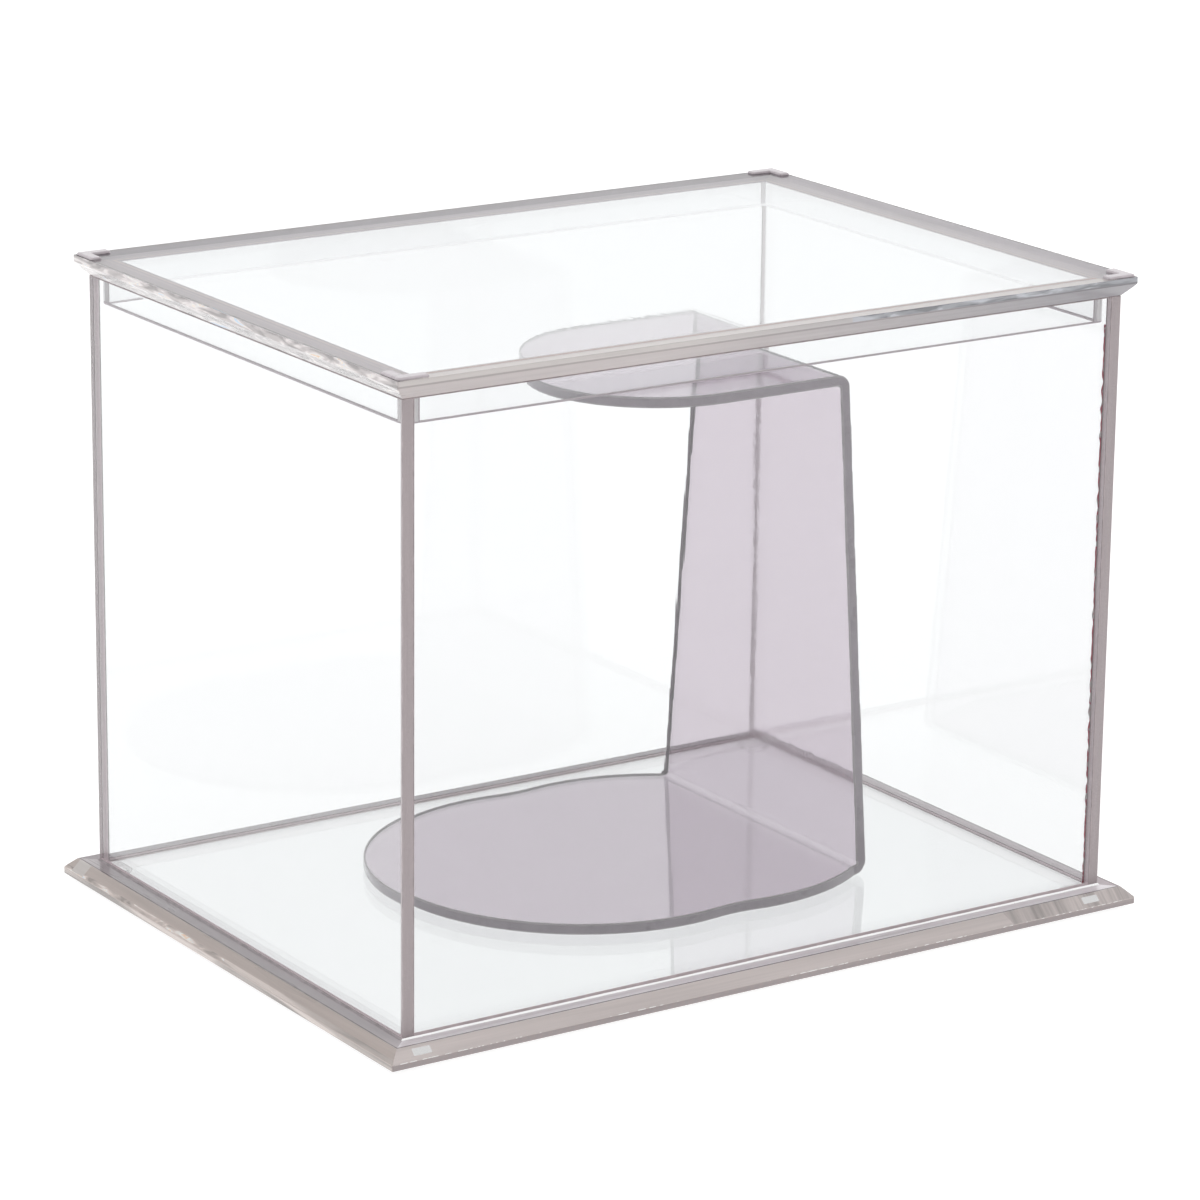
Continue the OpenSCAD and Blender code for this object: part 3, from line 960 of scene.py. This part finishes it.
def build_lugs():
    """L-shaped stacking lugs with eased tops, on the lid's four corners."""
    for corner, sx, sy in CORNERS:
        lo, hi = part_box("lid_lug_" + corner)
        leg, width, r = hi.x - lo.x - 2 * SKIN, LUG_W, LUG_R
        shape = [(0, 0, r), (leg, 0, r), (leg, width, r), (width, width, LUG_INNER_R),
                 (width, leg, r), (0, leg, r)]
        outer = Vector((lo.x + SKIN if sx < 0 else hi.x - SKIN,
                        lo.y + SKIN if sy < 0 else hi.y - SKIN, lo.z + SKIN))
        outline = divided(filleted(shape, 4), SMALL_SPACING)
        height = hi.z - lo.z - 2 * SKIN
        profile = [(0, 0), (0.08 * MM, height * 0.35), (0.3 * MM, height * 0.75),
                   (0.55 * MM, height * 0.94), (0.8 * MM, height)]
        bm = lofted(rising(outline, profile, outer, (-sx, -sy)))
        finish_mesh("lug_" + corner + "_bead", bm, [LUG], None, "lid",
                    ["lid_lug_" + corner], sharp=40)


def build_feet():
    """Square pads with a crowned underside and soft shoulders."""
    for corner, _, _ in CORNERS:
        lo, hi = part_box("base_foot_" + corner)
        half = (hi.x - lo.x) / 2 - SKIN
        centre = (lo + hi) / 2
        outline = divided(rounded(half, half, FOOT_R, FOOT_R), SMALL_SPACING)
        height = hi.z - lo.z - SKIN
        profile = [(1.5 * MM, 0), (0.8 * MM, 0.06 * height), (0.35 * MM, 0.2 * height),
                   (0.1 * MM, 0.45 * height), (0, 0.75 * height), (0, height)]
        bm = lofted(rising(outline, profile, Vector((centre.x, centre.y, lo.z))))
        finish_mesh("foot_" + corner + "_pad", bm, [FOOT], None, "case",
                    ["base_foot_" + corner], sharp=50)


# ---------------------------------------------------------------- stand

def stand_lengths():
    """Where, along the flat sheet, each bend starts and ends."""
    lo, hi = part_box("helmet_stand")
    mid_r = BEND_OUTER_R - SHEET_T / 2
    foot = hi.x - BEND_OUTER_R - lo.x
    bend = math.pi / 2 * mid_r
    upright = hi.z - lo.z - 2 * BEND_OUTER_R
    shelf = hi.x - BEND_OUTER_R - (SHELF_X - SHELF_R)
    starts = [foot, foot + bend, foot + bend + upright, foot + 2 * bend + upright]
    return starts, starts[-1] + shelf, mid_r


def arc(centre, r, start, end, step_deg=4):
    """Points on an arc, angles in degrees."""
    count = max(2, round(abs(end - start) / step_deg))
    return [centre + r * Vector((math.cos(math.radians(start + (end - start) * k / count)),
                                 math.sin(math.radians(start + (end - start) * k / count))))
            for k in range(count + 1)]


def stand_outline():
    """The flat sheet's outline, anticlockwise: along the length, then back again. The foot
    plate is two lobes with a waist, the upright tapers, and the shelf has a round end."""
    lo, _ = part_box("helmet_stand")
    starts, end, _ = stand_lengths()
    mid = (REAR_LOBE_X - FRONT_LOBE_X) / 2
    waist_y = math.sqrt((LOBE_R + WAIST_R) ** 2 - mid ** 2)
    lean = math.degrees(math.asin(mid / (LOBE_R + WAIST_R)))
    front, rear = -lo.x + FRONT_LOBE_X, -lo.x + REAR_LOBE_X
    bend_x = starts[0] - rear
    lower = arc(Vector((front, 0)), LOBE_R, 180, 270 + lean)
    lower += arc(Vector((front + mid, -waist_y)), WAIST_R, 90 + lean, 90 - lean, 2)[1:]
    lower += arc(Vector((rear, 0)), LOBE_R, 270 - lean,
                 360 - math.degrees(math.acos(bend_x / LOBE_R)))[1:]
    lower += [Vector((starts[1], -UPRIGHT_HALF_W)), Vector((starts[2], -SHELF_R)),
              Vector((starts[3], -SHELF_R))]
    lower += arc(Vector((end - SHELF_R, 0)), SHELF_R, 270, 360)
    upper = [Vector((p.x, -p.y)) for p in reversed(lower[1:-1])]
    return divided(lower + upper, STAND_SPACING)


def bent(p, starts, mid_r, lo, hi, back):
    """Bends a point of the flat sheet (length, across, depth from the outer face)."""
    corner_x, foot_z, shelf_z = hi.x - BEND_OUTER_R, lo.z + BEND_OUTER_R, hi.z - BEND_OUTER_R
    s, y, depth = p
    r = BEND_OUTER_R - depth
    swell = 0.0
    if s <= starts[0]:
        x, z = corner_x - (starts[0] - s), lo.z + depth
    elif s < starts[1]:
        a = (s - starts[0]) / mid_r
        x, z = corner_x + r * math.sin(a), foot_z - r * math.cos(a)
        swell = math.sin(2 * a)
    elif s <= starts[2]:
        x, z = hi.x - depth, foot_z + s - starts[1]
    elif s < starts[3]:
        a = (s - starts[2]) / mid_r
        x, z = corner_x + r * math.cos(a), shelf_z + r * math.sin(a)
        swell = math.sin(2 * a)
    else:
        x, z = corner_x - (s - starts[3]), hi.z - depth
    across = 1 + BEND_SWELL * swell * (depth / SHEET_T) * (abs(y) / UPRIGHT_HALF_W) ** SWELL_POWER
    return Vector((x, back + y * across, z))


def build_stand():
    """One sheet, cut to its outline, edges eased, then bent twice."""
    lo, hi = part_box("helmet_stand")
    starts, _, mid_r = stand_lengths()
    back = (lo.y + hi.y) / 2
    outline = stand_outline()
    thickness = SHEET_T - 2 * SKIN
    rings = [[Vector((p.x, p.y, SKIN + h)) for p in inset(outline, SKIN + d)]
             for d, h in eased_profile(thickness, STAND_EASE, 4)]
    bm = lofted(rings)
    cuts = [starts[k] + (starts[k + 1] - starts[k]) * n / BEND_CUTS
            for k in (0, 2) for n in range(BEND_CUTS + 1)]
    cuts += [starts[1] + (starts[2] - starts[1]) * n / UPRIGHT_CUTS
             for n in range(1, UPRIGHT_CUTS)]
    for s in sorted(cuts):
        cut_across(bm, (s, 0, 0), (1, 0, 0))
    for v in bm.verts:
        v.co = bent(v.co, starts, mid_r, lo, hi, back)
    band = bm.faces.layers.int["band"]
    last = len(rings) - 1
    finish_mesh("helmet_stand_sheet", bm, [STAND_SMOKE, STAND_EDGE, STAND_LINE],
                lambda face: 0 if face[band] in (-1, last + 1) else
                1 if face[band] == last // 2 else 2,
                "stand", ["helmet_stand"], sharp=35)


# ---------------------------------------------------------------- studio

CAMERA_AZIMUTH = -33.58  # degrees; 0 looks along +Y
CAMERA_ELEVATION = 16.21
CAMERA_ROLL = 0.64
CAMERA_DISTANCE = 2.0893
CAMERA_LENS, SENSOR_W = 149.5, 36
LOOK_AT = Vector((-0.0011, -0.0020, 0.1307))
FLOOR_RADIUS = 14
BOUNCES = 32
OPENING = (-0.15, 0.35)  # how far a direction looks towards the camera where the tent opens
TENT_RISE = 0.5  # the sine of the elevation where the tent's opening ends
TENT_SOFTNESS = 0.2
WORLD_STRENGTH = 1.0


def build_camera():
    """The photo's camera, turned about its own axis by CAMERA_ROLL."""
    a, e, roll = (math.radians(v) for v in (CAMERA_AZIMUTH, CAMERA_ELEVATION, CAMERA_ROLL))
    back = Vector((math.sin(a) * math.cos(e), -math.cos(a) * math.cos(e), math.sin(e)))
    right = (-back).cross(Vector((0, 0, 1))).normalized()
    up = right.cross(-back)
    turned_right = math.cos(roll) * right + math.sin(roll) * up
    turned_up = math.cos(roll) * up - math.sin(roll) * right
    data = bpy.data.cameras.new("camera")
    data.lens, data.sensor_width = CAMERA_LENS, SENSOR_W
    camera = bpy.data.objects.new("camera", data)
    bpy.context.scene.collection.objects.link(camera)
    axes = Matrix((turned_right, turned_up, back)).transposed()
    camera.matrix_world = Matrix.Translation(LOOK_AT + back * CAMERA_DISTANCE) @ axes.to_4x4()
    bpy.context.scene.camera = camera


def build_floor():
    """A round sheet of white paper under the case."""
    bm = bmesh.new()
    bmesh.ops.create_circle(bm, cap_ends=True, segments=96, radius=FLOOR_RADIUS)
    mesh = bpy.data.meshes.new("floor")
    bm.to_mesh(mesh)
    bm.free()
    mesh.materials.append(plain_floor("floor_paper"))
    floor = bpy.data.objects.new("floor", mesh)
    bpy.context.scene.collection.objects.link(floor)


def build_world():
    """A white tent, open on the camera's side: the room beyond that opening is dim and warm,
    and the clear edges pick their grey up from it."""
    world = bpy.data.worlds.new("studio")
    bpy.context.scene.world = world
    world.use_nodes = True
    nodes, links = world.node_tree.nodes, world.node_tree.links
    place = nodes.new("ShaderNodeTexCoord")
    split = nodes.new("ShaderNodeSeparateXYZ")
    links.new(place.outputs["Generated"], split.inputs["Vector"])
    towards = nodes.new("ShaderNodeVectorMath")
    towards.operation = "DOT_PRODUCT"
    a = math.radians(CAMERA_AZIMUTH)
    towards.inputs[1].default_value = (math.sin(a), -math.cos(a), 0)
    links.new(place.outputs["Generated"], towards.inputs[0])
    opening = world_step(nodes, links, towards.outputs["Value"], *OPENING)
    below = world_step(nodes, links, split.outputs["Z"], TENT_RISE + TENT_SOFTNESS,
                       TENT_RISE - TENT_SOFTNESS)
    both = nodes.new("ShaderNodeMath")
    both.operation = "MULTIPLY"
    links.new(opening, both.inputs[0])
    links.new(below, both.inputs[1])
    colour = ramp(nodes, links, both.outputs[0], WHITE, ROOM_GREY, 0, 1)
    background = nodes["Background"]
    links.new(colour, background.inputs["Color"])
    background.inputs["Strength"].default_value = WORLD_STRENGTH


def world_step(nodes, links, source, start, end):
    """A soft step from 0 at start to 1 at end."""
    node = nodes.new("ShaderNodeMapRange")
    node.interpolation_type = "SMOOTHSTEP"
    node.inputs["From Min"].default_value = start
    node.inputs["From Max"].default_value = end
    links.new(source, node.inputs["Value"])
    return node.outputs["Result"]


def settle_studio():
    """Camera, floor and light, with enough bounces for sheets behind sheets."""
    scene = bpy.context.scene
    scene.view_settings.view_transform = "Standard"
    scene.cycles.max_bounces = BOUNCES
    scene.cycles.transmission_bounces = BOUNCES
    scene.cycles.glossy_bounces = 16
    build_camera()
    build_floor()
    build_world()


build_panels()
build_weld_bead()
build_base()
build_lid()
build_collar()
build_lugs()
build_weld_fillet()
build_feet()
build_stand()
settle_studio()
